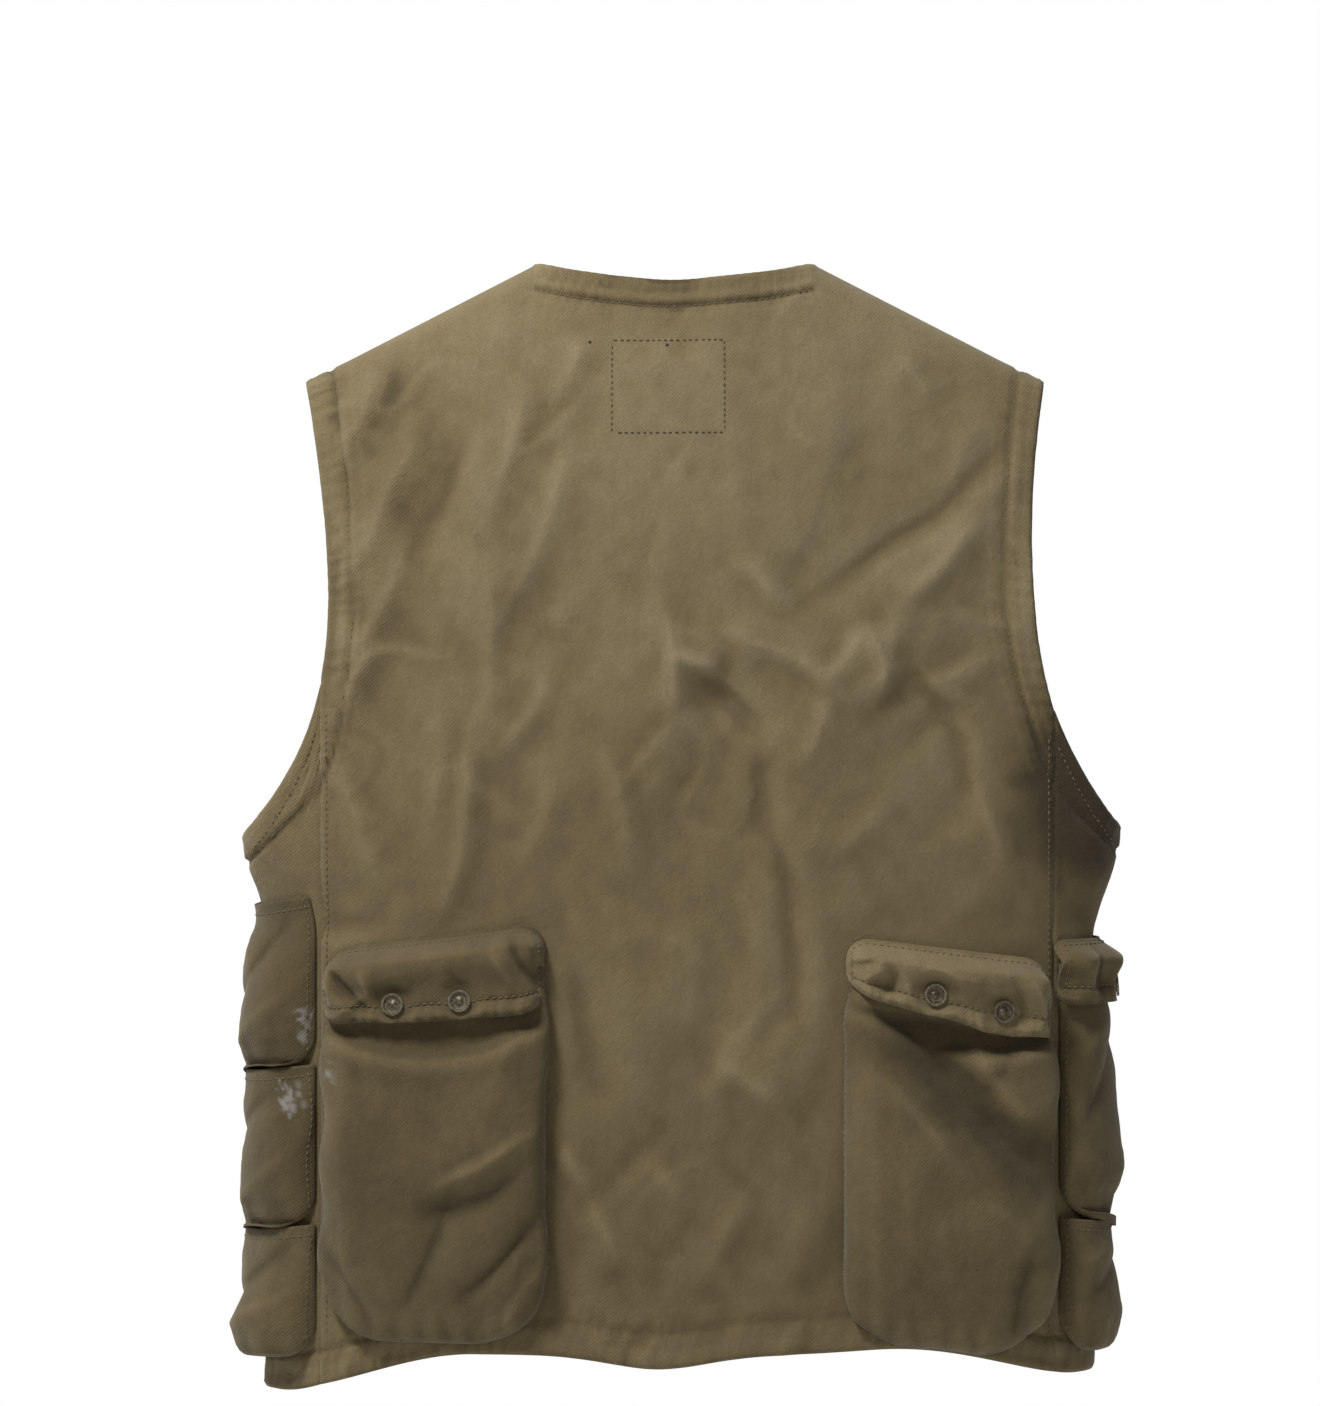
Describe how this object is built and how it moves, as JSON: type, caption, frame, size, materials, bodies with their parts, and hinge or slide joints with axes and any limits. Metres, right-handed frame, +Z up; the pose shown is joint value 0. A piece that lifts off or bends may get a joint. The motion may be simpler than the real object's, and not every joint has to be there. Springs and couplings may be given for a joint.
{
  "type": "fishing vest",
  "caption": "Sleeveless cotton fishing vest with an open front zip, bellows back pockets under snap flaps, stacked side pouches and topstitched facings.",
  "frame": {"origin": "middle of the neck at the height of the neck points, where a hanger carries the vest", "axes": "+Z up, +X to the wearer's left, -Y out of the wearer's chest, +Y out of the wearer's back"},
  "size_m": [0.4442, 0.1374, 0.5685],
  "materials": {
    "body_cloth": "faded olive khaki cotton twill",
    "pocket_cloth": "faded olive khaki cotton twill, darker",
    "facing_cloth": "cotton facing",
    "label_cloth": "blank woven label",
    "snap_ring": "worn nickel",
    "snap_stud": "dull brass",
    "zip_tape": "woven zip tape",
    "zip_metal": "aged brass",
    "zip_slider_metal": "worn nickel"
  },
  "bodies": {
    "body": {"back_panel": "body_cloth", "side_panel_left": "body_cloth", "side_panel_right": "body_cloth", "neck_facing_back": "facing_cloth", "armhole_facing_left": "facing_cloth", "armhole_facing_right": "facing_cloth", "hem_facing_back": "facing_cloth", "inside_label": "label_cloth", "back_pocket_left": "pocket_cloth", "back_pocket_right": "pocket_cloth", "back_studs_left": "snap_stud", "back_studs_right": "snap_stud", "side_pocket_left_upper": "pocket_cloth", "side_pocket_left_middle": "pocket_cloth", "side_pocket_left_lower": "pocket_cloth", "side_pocket_right_upper": "pocket_cloth", "side_pocket_right_lower": "pocket_cloth", "side_stud_right": "snap_stud", "front_side_left": "body_cloth", "front_side_right": "body_cloth", "armhole_facing_front_left": "facing_cloth", "armhole_facing_front_right": "facing_cloth"},
    "front_left": {"front_panel_left": "body_cloth", "neck_facing_left": "facing_cloth", "hem_facing_left": "facing_cloth", "front_pocket_left": "pocket_cloth", "front_studs_left": "snap_stud", "zip_tape_left": "zip_tape", "zip_teeth_left": "zip_metal", "zip_stop_left": "zip_metal", "zip_pin": "zip_metal"},
    "front_right": {"front_panel_right": "body_cloth", "neck_facing_right": "facing_cloth", "hem_facing_right": "facing_cloth", "front_pocket_right": "pocket_cloth", "front_studs_right": "snap_stud", "zip_tape_right": "zip_tape", "zip_teeth_right": "zip_metal", "zip_stop_right": "zip_metal", "zip_box": "zip_metal"},
    "slider": {"zip_slider": "zip_slider_metal"},
    "pull": {"zip_pull": "zip_slider_metal"},
    "back_flap_left_body": {"back_flap_left": "body_cloth", "back_snaps_left": "snap_ring"},
    "back_flap_right_body": {"back_flap_right": "body_cloth", "back_snaps_right": "snap_ring"},
    "side_flap_right_body": {"side_flap_right": "body_cloth", "side_snap_right": "snap_ring"},
    "front_flap_left_body": {"front_flap_left": "body_cloth", "front_snaps_left": "snap_ring"},
    "front_flap_right_body": {"front_flap_right": "body_cloth", "front_snaps_right": "snap_ring"}
  },
  "joints": [
    {"name": "front_left_swing", "type": "hinge", "parent": "body", "child": "front_left", "pos_m": [0.04993, -0.02553, -0.03628], "axis": [-0.2236, 0.0404, 0.9739], "range_deg": [0, 70]},
    {"name": "front_right_swing", "type": "hinge", "parent": "body", "child": "front_right", "pos_m": [-0.04993, -0.025, -0.03629], "axis": [-0.2285, -0.0426, -0.9726], "range_deg": [0, 70]},
    {"name": "back_left_flap_hinge", "type": "hinge", "parent": "body", "child": "back_flap_left_body", "pos_m": [0.17863, 0.04038, -0.34608], "axis": [0.9813, -0.1454, -0.1258], "range_deg": [0, 120]},
    {"name": "back_right_flap_hinge", "type": "hinge", "parent": "body", "child": "back_flap_right_body", "pos_m": [-0.08194, 0.05707, -0.3381], "axis": [0.9773, 0.1769, 0.1165], "range_deg": [0, 120]},
    {"name": "side_right_flap_hinge", "type": "hinge", "parent": "body", "child": "side_flap_right_body", "pos_m": [-0.20505, 0.03551, -0.34102], "axis": [0.3272, 0.9449, -0.0008], "range_deg": [0, 110]},
    {"name": "front_left_flap_hinge", "type": "hinge", "parent": "front_left", "child": "front_flap_left_body", "pos_m": [0.02314, -0.04775, -0.33475], "axis": [-0.9973, -0.0738, 0.0004], "range_deg": [0, 115]},
    {"name": "front_right_flap_hinge", "type": "hinge", "parent": "front_right", "child": "front_flap_right_body", "pos_m": [-0.11141, -0.04138, -0.33478], "axis": [-0.9974, 0.0715, -0.0004], "range_deg": [0, 115]},
    {"name": "zip_slide", "type": "slide", "parent": "front_right", "child": "slider", "axis": [0, 0.0843, 0.9964], "range_m": [0, 0.424]},
    {"name": "zip_pull_hinge", "type": "hinge", "parent": "slider", "child": "pull", "pos_m": [-0.0025, -0.06323, -0.51916], "axis": [-1, 0, 0], "range_deg": [0, 160]}
  ]
}
